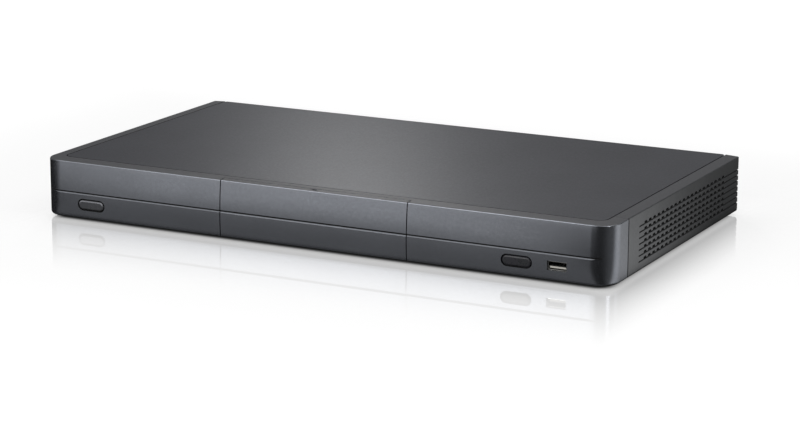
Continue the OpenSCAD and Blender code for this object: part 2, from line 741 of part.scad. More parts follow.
module hard_drive_board() {
    x = drive_w / 2 - 4;
    color("#1d4d6b") difference() {
        union() {
            box([-x, drive_end - 61, drive_z + 0.6], [x, drive_end - 9.4, drive_z + 2.2]);
            box([-30, drive_end - 50, drive_z + 0.1], [-14, drive_end - 34, drive_z + 0.7]);
            box([2, drive_end - 44, drive_z + 0.1], [12, drive_end - 34, drive_z + 0.7]);
            box([20, drive_end - 52, drive_z + 0.1], [31, drive_end - 44, drive_z + 0.7]);
        }
        for (sx = [-1, 1]) translate([sx * (x - 4), drive_end - 56, drive_z]) rod_z(1.4, -1, 5);
    }
}
// The drive's plug: two tongues, data and power, in a shroud.
plug_back = drive_end - 0.4;
tongue_t = 1.2;
tongues = [[-plug_w / 2 + 2.2, 10.4], [-plug_w / 2 + 15.2, 20.6]];
module hard_drive_plug() {
    color("#151517") translate([plug_x, 0, 0]) {
        box([-plug_w / 2, drive_end - 9, drive_z + 0.8], [plug_w / 2, drive_end - 5, drive_z + 6.6]);
        for (t = tongues) box([t[0], drive_end - 5 - eps, plug_z - tongue_t / 2],
            [t[0] + t[1], plug_back, plug_z + tongue_t / 2]);
    }
}

// ----- drive bay -----
module drive_bay() {
    color("#aeb2b7") difference() {
        union() {
            box([-bay_x - bay_t, bay_y0, bay_top - bay_t], [bay_x + bay_t, bay_y1, bay_top]);
            both_sides() {
                box([bay_x, bay_y0, floor_z], [bay_x + bay_t, bay_y1, bay_top]);
                box([bay_x, pan_y, floor_z], [bay_x + flange_w, bay_y1, floor_z + bay_t]);
            }
            // tab that the backplane is screwed to
            box([-38, board_y + board_t, bay_top - 12], [38, board_y + board_t + bay_t, bay_top]);
        }
        translate([0, (bay_y0 + board_y) / 2, bay_top - 5]) linear_extrude(10) vent_field(4, 8, 26, 17, 18, 5);
        // clear of the bezel's floor, and holes for the floor screws
        box([-far, bay_y0 - 1, -1], [far, pan_y + 0.2, skin + 0.3]);
        both_sides() for (p = base_screw_at) translate([p[0], p[1], 0]) rod_z(tap_r, -1, 3);
        // windows low in the side walls
        for (i = [0:3]) let (y = bay_y0 + 16 + i * 36)
            box([-far, y, floor_z + 5], [far, y + 22, runner_z - 5]);
    }
}

module bay_rail() {
    low = runner_z - run_gap;
    high = runner_z + runner_h + run_gap;
    lip = sled_x + 0.6;
    difference() {
        union() {
            box([rail_x, bay_y0 + 1, low - rail_t], [bay_x, bay_y1 - 2, high + rail_t]);
            box([lip, bay_y0 + 1, high], [bay_x, bay_y1 - 2, high + rail_t]);
            box([lip, bay_y0 + 1, low - rail_t], [bay_x, bay_y1 - 2, low]);
        }
        // funnelled mouth
        translate([0, bay_y0 + 1, (low + high) / 2]) from_x(lip - 1, rail_x)
            polygon([[-1, -3.4], [5, -1.9], [5, 1.9], [-1, 3.4]]);
    }
}
module bay_rail_right() {
    color("#e3e1da") bay_rail();
}
module bay_rail_left() {
    color("#e3e1da") mirror([1, 0, 0]) bay_rail();
}

module backplane_board() {
    color("#1f5a34") difference() {
        box([-42, board_y, sled_z + 1], [50, board_y + board_t, bay_top - bay_t - 1]);
        for (x = [-30, 30]) translate([x, 0, bay_top - 7]) rod_y(post_hole_r, board_y - 1, board_y + 3);
    }
}
module backplane_connector() {
    gap = 0.25;
    nose = drive_end - 4.4;
    color("#151517") translate([plug_x, 0, 0]) difference() {
        union() {
            box([-plug_w / 2 + 0.8, nose, plug_z - 2.3], [plug_w / 2 - 0.8, board_y, plug_z + 2.3]);
            box([-plug_w / 2 - 2, board_y - 5, plug_z - 2.9], [plug_w / 2 + 2, board_y, plug_z + 2.9]);
        }
        for (t = tongues) box([t[0] - gap, nose - 1, plug_z - tongue_t / 2 - gap],
            [t[0] + t[1] + gap, plug_back + 0.6, plug_z + tongue_t / 2 + gap]);
    }
}

// ----- electronics -----
module main_board() {
    color("#1f5a34") difference() {
        union() {
            box([main_x0, main_y0, board_z], [main_x1, main_y1, board_top]);
            // socket of the drive cable and sockets of the front cables
            box([main_x0 + 1, bay_y1 + 3, board_top], [main_x0 + 7, bay_y1 + 17, board_top + 7]);
            box([main_x0 + 30, main_y0 + 1, board_top], [main_x0 + 44, main_y0 + 6, board_top + 6]);
        }
        for (p = board_posts) translate([p[0], p[1], 0]) rod_z(post_hole_r, 0, 20);
    }
}
board_posts = [for (x = [main_x0 + 11, main_x1 - 6]) for (y = [main_y0 + 12, main_y1 - 20]) [x, y]];
supply_posts = [for (x = [main_x0 + 11, main_x1 - 6]) for (y = [supply_y0 + 6, main_y1 - 40]) [-x, y]];
front_post_y = 32;
module board_post(top) {
    translate([0, 0, floor_z]) cylinder(r = 3, h = top - board_t - floor_z, $fn = 6);
    rod_z(post_r, top - board_t - eps, top + eps);
    rod_z(2.6, top, top + 1.4);
}
module board_standoffs() {
    color("#c2a75a") {
        for (p = concat(board_posts, supply_posts)) translate([p[0], p[1], 0]) board_post(board_top);
        for (x = socket_pegs) translate([x, front_post_y, 0]) board_post(front_board_top);
    }
}
chip_x = main_x0 + 62;
chip_y = 150;
module processor() {
    color("#202124") {
        box([chip_x - 17, chip_y - 17, board_top], [chip_x + 17, chip_y + 17, board_top + 1]);
        box([chip_x - 14, chip_y - 14, board_top + 1 - eps], [chip_x + 14, chip_y + 14, board_top + 2.2]);
    }
}
module processor_heatsink() {
    base = board_top + 2.2;
    fins = 11;
    half = 20;
    color("#8d9196") {
        box([chip_x - half, chip_y - half, base], [chip_x + half, chip_y + half, base + 2.4]);
        for (i = [0:fins - 1]) let (x = chip_x - half + i * (2 * half - 1) / (fins - 1))
            box([x, chip_y - half, base + 2], [x + 1, chip_y + half, base + 14]);
    }
}
module memory_chips() {
    color("#1c1c1f") for (i = [0:1]) for (j = [0:1])
        translate([chip_x + 30 + i * 13, chip_y - 16 + j * 20, board_top]) cube([9, 13, 1.1]);
}
module board_capacitors() {
    color("#2c3550") for (i = [0:4]) translate([main_x0 + 14 + i * 10, main_y1 - 34, board_top]) {
        cylinder(r = 3.4, h = 8);
        translate([0, 0, 8 - eps]) cylinder(r1 = 3.4, r2 = 2.9, h = 0.5);
    }
}
module wifi_card() {
    z = board_top + 7;
    x = chip_x - 34;
    color("#23613d") {
        box([x, main_y0 + 10, z], [x + 44, main_y0 + 50, z + 1]);
        box([x + 6, main_y0 + 16, z + 1 - eps], [x + 28, main_y0 + 38, z + 3]);
        box([x + 4, main_y0 + 50 - 6, board_top], [x + 40, main_y0 + 52, z]);
    }
}
antenna_at = [48, 62];
module antennas() {
    color("#7a6a3a") both_sides() {
        box([steel_x - 1.1, antenna_at[0] - 8, 10], [steel_x - 0.1, antenna_at[1] - 8, 34]);
        box([steel_x - 2, antenna_at[0] - 4, 20], [steel_x - 1, antenna_at[1] - 14, 26]);
    }
}

module supply_board() {
    color("#7d6a34") difference() {
        box([-main_x1, supply_y0, board_z], [-main_x0, main_y1 - 22, board_top]);
        for (p = supply_posts) translate([p[0], p[1], 0]) rod_z(post_hole_r, 0, 20);
    }
}
module supply_transformer() {
    x = -(main_x0 + 62);
    y = 118;
    color("#b58a3c") {
        box([x - 16, y - 14, board_top], [x + 16, y + 14, board_top + 4]);
        box([x - 11, y - 9, board_top + 4 - eps], [x + 11, y + 9, board_top + 19]);
        difference() {
            box([x - 17, y - 6, board_top + 4 - eps], [x + 17, y + 6, board_top + 24]);
            box([x - 12, y - 7, board_top + 3], [x + 12, y + 7, board_top + 19]);
        }
    }
}
module supply_capacitors() {
    color("#23262f") {
        translate([-(main_x1 - 26), 150, board_top + 9.2]) rod_y(9, 0, 32);
        for (i = [0:3]) translate([-(main_x0 + 12), 84 + i * 14, board_top]) cylinder(r = 5, h = 18);
    }
}
module supply_heatsinks() {
    color("#a4a7ab") for (p = [[-(main_x0 + 88), 92], [-(main_x0 + 34), 92]]) translate([p[0], p[1], board_top]) {
        translate([-1, 0, 0]) cube([2, 52, 24]);
        for (i = [0:4]) translate([-4, i * 12, 0]) cube([8, 1.6, 24]);
    }
}
// Three flat cables to the main board: from the supply, from the drive and from the switch.
module supply_cable() {
    x = main_x0 + 4;
    y = bay_y1 + 10;
    color("#8a2f2a") translate([0, 0, board_top + 0.6]) linear_extrude(5.6)
        ribbon([[-x, main_y1 - 50], [-x, y], [main_x0 + 1, y]], 1.6);
}
module drive_cable() {
    y = bay_y1 + 16;
    color("#9a3a30") translate([0, 0, board_top + 7]) linear_extrude(7)
        ribbon([[20, board_y + board_t], [20, y], [main_x0 + 6, y]], 1.4);
}
module button_cable() {
    z = bay_top + 0.1;
    t = 0.4;
    w = 8;
    x = -power_x + w;
    y = switch_back + board_t;
    end = main_x0 + 37;
    color("#d8d5cb") {
        box([x - w / 2, y, pill_z + 2], [x + w / 2, y + t, z + t]);
        box([x - w / 2, y, z], [x + w / 2, 40, z + t]);
        box([x - w / 2, 40 - eps, z], [end + w / 2, 40 + w, z + t]);
        box([end - w / 2, 40, z], [end + w / 2, main_y0 + 3.5, z + t]);
        box([end - w / 2, main_y0 + 3.5 - t, board_top + 6], [end + w / 2, main_y0 + 3.5, z + t]);
    }
}

// ----- back -----
fan_face = back_in;
fan_bore = fan_w / 2 - 1.1;
fan_holes = (fan_w - 6) / 2;
fan_hole_r = 1.5;
hub_r = 8;
module fan_frame() {
    y0 = fan_face - fan_t;
    color("#1b1c1e") translate([0, 0, fan_z]) difference() {
        union() {
            difference() {
                box([-fan_w / 2, y0, -fan_w / 2], [fan_w / 2, fan_face, fan_w / 2]);
                rod_y(fan_bore, y0 - 1, fan_face + 1);
            }
            // motor plate, its four struts and the shaft
            rod_y(hub_r, y0, y0 + 1.2);
            for (a = [45:90:315]) rotate([0, a, 0]) box([0, y0, -0.8], [fan_bore + 0.5, y0 + 1.2, 0.8]);
            rod_y(0.95, y0 + 1, fan_face - 2.6);
        }
        for (sx = [-1, 1]) for (sz = [-1, 1]) translate([sx * fan_holes, 0, sz * fan_holes])
            rod_y(fan_hole_r, y0 - 1, fan_face + 1);
    }
}
module fan_rotor() {
    y0 = fan_face - fan_t + 1.6;
    y1 = fan_face - 1.2;
    tip = fan_bore - 0.6;
    color("#26272a") translate([0, 0, fan_z]) difference() {
        union() {
            rod_y(hub_r, y0, y1);
            intersection() {
                rod_y(tip, y0, y1);
                for (i = [0:fan_blades - 1]) rotate([0, i * 360 / fan_blades, 0])
                    translate([0, (y0 + y1) / 2, 0]) rotate([38, 0, 0])
                        translate([hub_r - 1, -7, -0.5]) cube([tip, 14, 1]);
            }
        }
        rod_y(1, y0 - 1, y1 - 1);
        difference() {
            rod_y(hub_r - 1.2, y0 - 1, y1 - 1.4);
            rod_y(2.4, y0 - 1, y1);
        }
    }
}
module fan_screws() {
    color("#2a2a2c") for (sx = [-1, 1]) for (sz = [-1, 1])
        translate([sx * fan_holes, back_y, fan_z + sz * fan_holes]) rotate([-90, 0, 0])
            screw(2.4, 1, 1.3, 7);
}

rca_at = concat([[coax_x, rca_z]], [for (c = [0:2]) for (r = [0:1]) [rca_x - c * rca_pitch, rca_z + r * rca_rise]]);
// hexagonal field of holes in front of the fan
grille_pitch = 4.6;
grille_r = 1.9;
grille_at = [for (i = [-4:4]) for (j = [-4:4])
    let (p = [grille_pitch * (i + (abs(j) % 2) / 2), grille_pitch * j * 0.866]) if (norm(p) < fan_bore - grille_r) p];

module rear_panel() {
    color("#2b2d30") difference() {
        union() {
            box([-cover_x + 0.2, back_in, floor_z + 0.1], [cover_x - 0.2, back_y, under_cover - 0.2]);
            box([-cover_x + 2, back_in - 8, floor_z], [cover_x - 2, back_in + eps, floor_z + sheet]);
        }
        both_sides() for (p = base_screw_at) translate([p[0], p[1], 0]) rod_z(tap_r, -1, 3);
        for (p = rca_at) translate([p[0], 0, p[1]]) rod_y(5.6, back_in - 1, back_y + 1);
        for (p = grille_at) translate([p[0], 0, fan_z + p[1]]) rod_y(grille_r, back_in - 1, back_y + 1);
        for (sx = [-1, 1]) for (sz = [-1, 1]) translate([sx * fan_holes, 0, fan_z + sz * fan_holes])
            rod_y(fan_hole_r, back_in - 1, back_y + 1);
        for (s = cover_screw_x) translate([s * cover_x, 0, cover_screw_z])
            rod_y(cover_hole_r, back_in - 1, back_y + 1);
        cutout(inlet_x, socket_z, inlet_w + 0.4, inlet_h + 0.4);
        cutout(rocker_x, socket_z, rocker_w + 0.4, rocker_h + 0.4);
        cutout(ethernet_x, board_top + ethernet_h / 2 + 0.2, ethernet_w + 0.6, ethernet_h + 0.6);
        cutout(rear_usb_x, board_top + 0.4 + usb_h / 2, usb_w + 0.6, usb_h + 0.6);
        cutout(hdmi_x, board_top + 0.5 + hdmi_h / 2, hdmi_w + 0.6, hdmi_h + 0.6);
        cutout(optical_x, board_top + optical_h / 2 + 0.2, optical_w + 0.4, optical_h + 0.4);
        // slots beside the fan
        for (s = [-1, 1]) translate([s * 42, 0, fan_z]) along_y(back_in - 1, back_y + 1)
            vent_field(2, 5, 17, 5, 14, 2.4);
    }
}
module cutout(x, z, w, h) {
    box([x - w / 2, back_in - 1, z - h / 2], [x + w / 2, back_y + 1, z + h / 2]);
}

// Mains inlet with its three pins.
inlet_w = 27.4;
inlet_h = 20.4;
inlet_out = 2.4;
inlet_depth = 16.6;
module inlet_mouth() {
    w = 12.1;
    h = 8.2;
    polygon([[-w, -h], [w, -h], [w, h - 4.6], [w - 5, h], [-w + 5, h], [-w, h - 4.6]]);
}
module mains_inlet() {
    color("#17181a") translate([inlet_x, 0, socket_z]) difference() {
        union() {
            box([-inlet_w / 2, back_y - 19, -inlet_h / 2], [inlet_w / 2, back_y + eps, inlet_h / 2]);
            box([-inlet_w / 2 - 1.8, back_y, -inlet_h / 2 - 1.8], [inlet_w / 2 + 1.8, back_y + inlet_out, inlet_h / 2 + 1.8]);
        }
        along_y(back_y + inlet_out - inlet_depth, back_y + inlet_out + 1) inlet_mouth();
    }
}
module inlet_pins() {
    y0 = back_y + inlet_out - inlet_depth;
    color("#cfc9b4") translate([inlet_x, 0, socket_z]) for (p = [[-7, -2], [7, -2], [0, 2]])
        translate([p[0], 0, p[1]]) {
            box([-1, y0, -2], [1, back_y - 1, 2]);
            box([-0.4, back_y - 28, -2.4], [0.4, back_y - 19, 2.4]);
        }
}

// Mains switch: a rocker on a pin across its well.
rocker_w = 13;
rocker_h = 19.2;
rocker_out = 1.8;
pivot_y = back_y - 2.6;
pivot_r = 1.2;
module mains_switch_body() {
    color("#17181a") translate([rocker_x, 0, socket_z]) difference() {
        union() {
            box([-rocker_w / 2, back_y - 13, -rocker_h / 2], [rocker_w / 2, back_y + eps, rocker_h / 2]);
            box([-rocker_w / 2 - 1, back_y, -rocker_h / 2 - 1], [rocker_w / 2 + 1, back_y + rocker_out, rocker_h / 2 + 1]);
            for (z = [-6, 0, 6]) box([-0.4, back_y - 21, z - 2.4], [0.4, back_y - 13 + eps, z + 2.4]);
        }
        box([-rocker_w / 2 + 1.1, back_y - 9.5, -rocker_h / 2 + 1.1], [rocker_w / 2 - 1.1, back_y + 5, rocker_h / 2 - 1.1]);
        translate([0, pivot_y, 0]) rod_x(pivot_r + 0.05, -rocker_w / 2 + 0.4, rocker_w / 2 - 0.4);
    }
}
module mains_rocker() {
    half = rocker_h / 2 - 2.1;
    rise = 5;
    color("#1f2023") translate([rocker_x, pivot_y, socket_z]) rotate([-rocker_swing / 2, 0, 0]) {
        along_x(rocker_w - 2.8) polygon([[-2.6, -2.4], [-0.6, -half], [rise, -half], [rise - 1.7, 0], [rise, half],
            [-0.6, half], [-2.6, 2.4]]);
        rod_x(pivot_r, -rocker_w / 2 + 0.6, rocker_w / 2 - 0.6);
    }
}

ethernet_w = 16;
ethernet_h = 13.4;
module ethernet_socket() {
    mouth = 3.2;
    color("#b4b7bb") translate([ethernet_x, 0, board_top]) difference() {
        box([-ethernet_w / 2, back_y - 21, 0.2], [ethernet_w / 2, back_y + 0.6, ethernet_h]);
        box([-5.95, back_y - 12, mouth], [5.95, back_y + 1, mouth + 7]);
        box([-3.2, back_y - 12, mouth + 6], [3.2, back_y + 1, mouth + 8.9]);
    }
}
module rear_usb_socket() {
    color("#b4b7bb") translate([rear_usb_x, back_y + 0.6, board_top + 0.4 + usb_h / 2]) rotate([0, 0, 180]) {
        usb_shell();
        usb_tongue();
    }
}
hdmi_w = 15;
hdmi_h = 5.6;
module hdmi_section(i) {
    w = hdmi_w / 2 - i;
    h = hdmi_h / 2 - i;
    polygon([[-w, h], [w, h], [w, -h + 2], [w - 2, -h], [-w + 2, -h], [-w, -h + 2]]);
}
module hdmi_socket() {
    color("#c4c6c9") translate([hdmi_x, 0, board_top + 0.5 + hdmi_h / 2]) {
        difference() {
            along_y(back_y - 11.4, back_y + 0.6) hdmi_section(0);
            along_y(back_y - 10, back_y + 1) hdmi_section(0.4);
        }
        box([-5.6, back_y - 10 - eps, -0.1], [5.6, back_y - 0.6, 1]);
    }
}
optical_w = 10;
optical_h = 10.4;
module optical_port() {
    color("#1a1b1d") translate([optical_x, 0, board_top + 0.2 + optical_h / 2]) difference() {
        box([-optical_w / 2, back_y - 14, -optical_h / 2], [optical_w / 2, back_y + 1, optical_h / 2]);
        difference() {
            along_y(back_y - 8, back_y + 2) polygon([[-3.9, -4], [3.9, -4], [3.9, 2.2], [2.2, 4], [-2.2, 4], [-3.9, 2.2]]);
            rod_y(2.4, back_y - 9, back_y - 2);
        }
        rod_y(1.2, back_y - 9, back_y + 2);
    }
}

module rca_housings() {
    color("#1d1e20") {
        difference() {
            union() {
                box([rca_x - 2 * rca_pitch - 6.6, back_in - 12, board_top], [rca_x + 6.6, back_in, rca_z + rca_rise + 6.4]);
                box([coax_x - 5.2, back_in - 12, board_top], [coax_x + 5.2, back_in, rca_z + 5.6]);
            }
            for (p = rca_at) translate([p[0], 0, p[1]]) rod_y(rca_r, back_in - 3, back_in + 1);
        }
    }
}
module rca_barrels() {
    color("#d7d3c4") for (p = rca_at) translate([p[0], 0, p[1]]) difference() {
        rod_y(rca_r, back_in - 3, rear_reach);
        rod_y(rca_r - 0.5, back_in - 2, rear_reach + 1);
    }
}
module rca_inserts() {
    color("#c9a227") for (p = rca_at) translate([p[0], 0, p[1]]) {
        difference() {
            rod_y(5.5, back_in, back_y + 1.6);
            rod_y(rca_r, back_in - 1, back_y + 3);
        }
        difference() {
            rod_y(rca_r - 0.5, back_in - 2, rear_reach - 1.2);
            rod_y(1.65, back_y - 1, rear_reach + 1);
        }
    }
}

place() front_bezel();
place() side_panel_left();
place() side_panel_right();
place() top_cover();
place() base_pan();
place() rear_panel();
place() rubber_feet();
place() cover_screws();
place() base_screws();
place() ir_window();
place() front_usb_shell();
place() front_usb_tongue();
place() power_switch_board();
place() power_switch();
place() front_socket_board();
place() ir_receiver();
place() drive_bay();
place() bay_rail_left();
place() bay_rail_right();
place() backplane_board();
place() backplane_connector();
place() drive_cable();
place() main_board();
place() processor();
place() processor_heatsink();
place() memory_chips();
place() board_capacitors();
place() board_standoffs();
place() wifi_card();
place() antennas();
place() supply_board();
place() supply_transformer();
place() supply_capacitors();
place() supply_heatsinks();
place() supply_cable();
place() button_cable();
place() mains_inlet();
place() inlet_pins();
place() mains_switch_body();
place() fan_frame();
place() fan_screws();
place() hdmi_socket();
place() ethernet_socket();
place() rear_usb_socket();
place() optical_port();
place() rca_housings();
place() rca_barrels();
place() rca_inserts();
place() power_button();
place() switch_plunger();
place() mains_rocker();
place() fan_rotor();
place() tray_front();
place() fascia_screws();
place() drive_sled();
place() hard_drive_casting();
place() hard_drive_lid();
place() hard_drive_board();
place() hard_drive_plug();
place() drive_screws();
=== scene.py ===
import math
import bpy
from mathutils import Matrix, Vector
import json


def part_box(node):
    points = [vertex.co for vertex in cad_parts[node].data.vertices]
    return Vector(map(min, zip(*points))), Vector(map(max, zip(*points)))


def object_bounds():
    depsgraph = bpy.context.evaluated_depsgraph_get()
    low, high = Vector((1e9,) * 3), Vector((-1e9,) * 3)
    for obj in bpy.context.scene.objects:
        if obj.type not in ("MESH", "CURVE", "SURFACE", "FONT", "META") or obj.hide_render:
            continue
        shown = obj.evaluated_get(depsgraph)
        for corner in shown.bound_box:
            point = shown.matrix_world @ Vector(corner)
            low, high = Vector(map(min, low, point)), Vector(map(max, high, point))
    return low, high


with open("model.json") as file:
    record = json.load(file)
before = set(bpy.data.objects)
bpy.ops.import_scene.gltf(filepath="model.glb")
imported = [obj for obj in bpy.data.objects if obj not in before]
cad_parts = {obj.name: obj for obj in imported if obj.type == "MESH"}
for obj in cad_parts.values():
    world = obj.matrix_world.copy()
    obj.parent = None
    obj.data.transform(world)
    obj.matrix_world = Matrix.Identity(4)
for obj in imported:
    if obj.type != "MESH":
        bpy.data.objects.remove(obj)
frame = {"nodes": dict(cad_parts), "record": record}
NODES = frame["nodes"]
CAD_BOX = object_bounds()
MM = 0.001
BODY_LEFT, BODY_RIGHT = CAD_BOX[0][0], CAD_BOX[1][0]
BODY_FRONT, BODY_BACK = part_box("front_bezel")[0].y, CAD_BOX[1][1]
CORNER_R = 15 * MM              # of the casing's front corners, seen from above
LINE_Z = 20.6 * MM              # middle of the slot across the face
LINE_HALF = 0.53 * MM           # half the slot's height
LINE_IN, LINE_BACK = 0.3 * MM, 2.2 * MM         # the slot's depths behind the face, from and to
# painted shadow: a dark strip along the front edge of each side panel
SEAM_SHADE = 1.1 * MM           # width of the dark edge of a side panel
SEAM_TOP = 0.6 * MM             # and how far below the panel's top it ends
JACK_PITCH, BARREL_R = 14 * MM, 4.15 * MM       # of the jacks on the back

FACE_RGB = (0.231, 0.242, 0.268)
BUTTON_RGB = (0.16, 0.163, 0.176)
SIDE_RGB = (0.170, 0.175, 0.181)
COVER_RGB = (0.041, 0.042, 0.048)
# painted shade: faces that look up take this darker colour, and the duller roughness below, in place of the
# metallic paint
RIM_SHADE_RGB = (0.052, 0.053, 0.058)
RIM_ROUGH = 0.46
BLACK = (0.003, 0.003, 0.003)
METALLIC = 0.96                 # of the paint on the face and the sides
FLECK_SIZE, FLECK_SHARE = 0.42 * MM, 0.12
GRAIN_SIZE, GRAIN_SHARE = 2 * MM, 0.24
PEEL_SIZE, PEEL_DEPTH = 1.3 * MM, 0.01 * MM     # orange peel of powder paint
MARK_SIZE, MARK_DEPTH = 12 * MM, 0.02 * MM      # rolling marks of sheet metal
ALONG_X, ALONG_Y = (1.0, 18.0, 18.0), (18.0, 1.0, 18.0)
TURNED = (9.0, 9.0, 9.0)        # fine marks with no direction


# ---------------------------------------------------------------- node materials

class Graph:
    """A node tree that is built up step by step; values are outputs or numbers."""

    def __init__(self, tree):
        self.tree = tree
        tree.nodes.clear()

    def node(self, kind, **settings):
        made = self.tree.nodes.new(kind)
        for key, value in settings.items():
            setattr(made, key, value)
        return made

    def link(self, source, target):
        self.tree.links.new(source, target)

    def feed(self, socket, value):
        """Links value when it is an output, and sets it when it is a number."""
        if isinstance(value, (int, float)):
            socket.default_value = value
        else:
            self.link(value, socket)

    def ramp(self, source, low, high, at_low=0.0, at_high=1.0):
        made = self.node("ShaderNodeMapRange", interpolation_type="SMOOTHSTEP")
        for key, value in (("From Min", low), ("From Max", high), ("To Min", at_low), ("To Max", at_high)):
            made.inputs[key].default_value = value
        self.link(source, made.inputs["Value"])
        return made.outputs["Result"]

    def maths(self, operation, a, b=0.0):
        made = self.node("ShaderNodeMath", operation=operation)
        self.feed(made.inputs[0], a)
        self.feed(made.inputs[1], b)
        return made.outputs[0]

    def plus(self, a, b):
        return self.maths("ADD", a, b)

    def minus(self, a, b):
        return self.maths("SUBTRACT", a, b)

    def times(self, first, *others):
        for other in others:
            first = self.maths("MULTIPLY", first, other)
        return first

    def larger(self, a, b):
        return self.maths("MAXIMUM", a, b)

    def smaller(self, a, b):
        return self.maths("MINIMUM", a, b)

    def root(self, a):
        return self.maths("SQRT", a)

    def length(self, a, b):
        return self.root(self.plus(self.times(a, a), self.times(b, b)))

    def axes(self, vector):
        apart = self.node("ShaderNodeSeparateXYZ")
        self.link(vector, apart.inputs[0])
        return apart.outputs["X"], apart.outputs["Y"], apart.outputs["Z"]

    def between(self, factor, a, b):
        """Shader a where factor is 0 and shader b where it is 1."""
        made = self.node("ShaderNodeMixShader")
        self.feed(made.inputs[0], factor)
        self.link(a, made.inputs[1])
        self.link(b, made.inputs[2])
        return made.outputs[0]

    def glow(self, kind, strength):
        made = self.node(kind)
        made.inputs["Color"].default_value = (1, 1, 1, 1)
        self.feed(made.inputs["Strength"], strength)
        return made.outputs[0]

    def diffuse(self, level):
        made = self.node("ShaderNodeBsdfDiffuse")
        made.inputs["Color"].default_value = (level, level, level, 1)
        return made.outputs[0]

    def sees_background(self):
        """Light Path's camera ray, and 1 for camera, glossy and transmission rays."""
        rays = self.node("ShaderNodeLightPath").outputs
        seen = self.larger(rays["Is Glossy Ray"], rays["Is Transmission Ray"])
        return rays["Is Camera Ray"], self.larger(seen, rays["Is Camera Ray"])


class Shader(Graph):
    """A Principled material; every texture is in the part's own metres."""

    def __init__(self, name):
        self.mat = bpy.data.materials.new(name)
        self.mat.use_nodes = True
        super().__init__(self.mat.node_tree)
        self.out = self.node("ShaderNodeOutputMaterial")
        self.bsdf = self.node("ShaderNodeBsdfPrincipled")
        self.link(self.bsdf.outputs[0], self.out.inputs["Surface"])
        self.where = self.node("ShaderNodeTexCoord").outputs["Object"]

    def set(self, **values):
        """Plain values of the Principled shader, by input name with spaces as underscores."""
        for key, value in values.items():
            self.bsdf.inputs[key.replace("_", " ")].default_value = value
        return self

    def normal(self):
        return self.node("ShaderNodeNewGeometry").outputs["Normal"]

    def stretched(self, scale):
        mapping = self.node("ShaderNodeMapping")
        mapping.inputs["Scale"].default_value = scale
        self.link(self.where, mapping.inputs["Vector"])
        return mapping.outputs[0]

    def noise(self, size, detail=2.0, rough=0.5, vector=None):
        """Noise whose features are about size metres across."""
        made = self.node("ShaderNodeTexNoise")
        made.inputs["Scale"].default_value = 1.0 / size
        made.inputs["Detail"].default_value = detail
        made.inputs["Roughness"].default_value = rough
        self.link(vector or self.where, made.inputs["Vector"])
        return made.outputs["Fac"]

    def cells(self, size, output="Color"):
        made = self.node("ShaderNodeTexVoronoi")
        made.inputs["Scale"].default_value = 1.0 / size
        self.link(self.where, made.inputs["Vector"])
        return made.outputs[output]

    def mix(self, factor, a, b):
        """Colour mix; a and b are (r, g, b) or outputs."""
        made = self.node("ShaderNodeMix", data_type="RGBA")
        self.link(factor, made.inputs["Factor"])
        for socket, value in ((made.inputs[6], a), (made.inputs[7], b)):
            if isinstance(value, (tuple, list)):
                socket.default_value = (*value, 1.0)
            else:
                self.link(value, socket)
        return made.outputs[2]

    def colour(self, value):
        self.link(value, self.bsdf.inputs["Base Color"])
        return self

    def roughness(self, value):
        self.link(value, self.bsdf.inputs["Roughness"])
        return self

    def bump(self, height, strength, depth):
        made = self.node("ShaderNodeBump")
        made.inputs["Strength"].default_value = strength
        made.inputs["Distance"].default_value = depth
        self.link(height, made.inputs["Height"])
        self.link(made.outputs[0], self.bsdf.inputs["Normal"])
        return self

    def hollow_shade(self, reach=1.8 * MM, shut=0.25, clear=0.75):
        """0 on open surfaces, rising towards 1 in slots, gaps and corners narrower than reach; colours darken
        with it as painted shade.
        """
        shaded = self.node("ShaderNodeAmbientOcclusion", samples=6)
        shaded.inputs["Distance"].default_value = reach
        return self.minus(1.0, self.ramp(shaded.outputs["AO"], shut, clear))


def shade(rgb, factor):
    return tuple(min(1.0, c * factor) for c in rgb)


def swept_corner(s):
    """Normal of a face that runs smoothly round the front corners, where the facing plane meets them."""
    x, _, _ = s.axes(s.where)
    nx, ny, nz = s.axes(s.normal())
    turn = s.maths("DIVIDE", s.minus(s.maths("ABSOLUTE", x), BODY_RIGHT - CORNER_R), CORNER_R)
    turn = s.smaller(s.larger(turn, 0.0), 1.0)
    level = s.root(s.larger(s.minus(1.0, s.times(nz, nz)), 0.0))
    across = s.times(level, turn, s.maths("SIGN", x))
    ahead = s.times(level, s.root(s.minus(1.0, s.times(turn, turn))), -1.0)
    swept = s.node("ShaderNodeCombineXYZ")
    for socket, value in zip(swept.inputs, (across, ahead, nz)):
        s.link(value, socket)
    agree = s.plus(s.plus(s.times(nx, across), s.times(ny, ahead)), s.times(nz, nz))
    facing = 0.8                # cosine within which a surface belongs to the face
    chosen = s.node("ShaderNodeMix", data_type="VECTOR")
    s.link(s.maths("GREATER_THAN", agree, facing), chosen.inputs["Factor"])
    s.link(s.normal(), chosen.inputs[4])
    s.link(swept.outputs[0], chosen.inputs[5])
    return chosen.outputs[1]


def face_line(s):
    """1 inside the slot that runs across the face, and 0 outside it; the face is painted black there as
    shade.
    """
    _, y, z = s.axes(s.where)
    above = s.maths("GREATER_THAN", z, LINE_Z - LINE_HALF)
    below = s.maths("LESS_THAN", z, LINE_Z + LINE_HALF)
    inside = s.maths("GREATER_THAN", y, BODY_FRONT + LINE_IN)
    ahead = s.maths("LESS_THAN", y, BODY_FRONT + LINE_BACK)
    return s.times(above, below, inside, ahead)


def panel_seam(s):
    """1 on the front edge of the side panels' outer face, painted dark as the shade where the bezel's wing
    overlaps it.
    """
    _, y, z = s.axes(s.where)
    low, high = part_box("side_panel_right")
    ahead = s.maths("LESS_THAN", y, low.y + SEAM_SHADE)
    return s.times(ahead, s.maths("LESS_THAN", z, high.z - SEAM_TOP))


